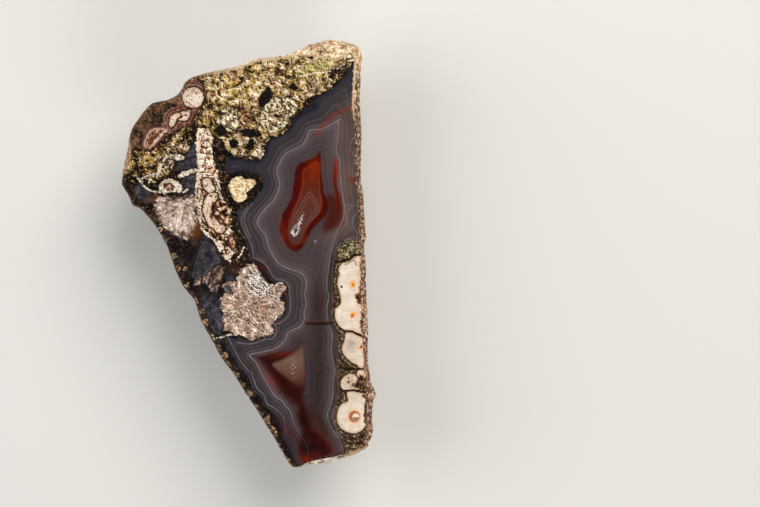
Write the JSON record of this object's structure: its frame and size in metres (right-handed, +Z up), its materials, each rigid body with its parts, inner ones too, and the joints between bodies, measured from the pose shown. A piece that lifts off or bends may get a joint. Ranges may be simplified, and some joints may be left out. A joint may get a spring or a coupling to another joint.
{
  "type": "polished agate half",
  "caption": "Half of a sawn moss agate nodule with a flat polished cut on top and a rounded natural rind below, resting on a small flat spot.",
  "frame": {"origin": "on the surface that the stone rests on, under the middle of its box", "axes": "+Z up, out of the polished cut; +Y along the half, towards its wide end; +X across it, towards its straight side"},
  "size_m": [0.056, 0.0948, 0.024],
  "materials": {
    "agate_stone": "polished"
  },
  "bodies": {
    "root": {"agate_half": "agate_stone"}
  },
  "joints": []
}
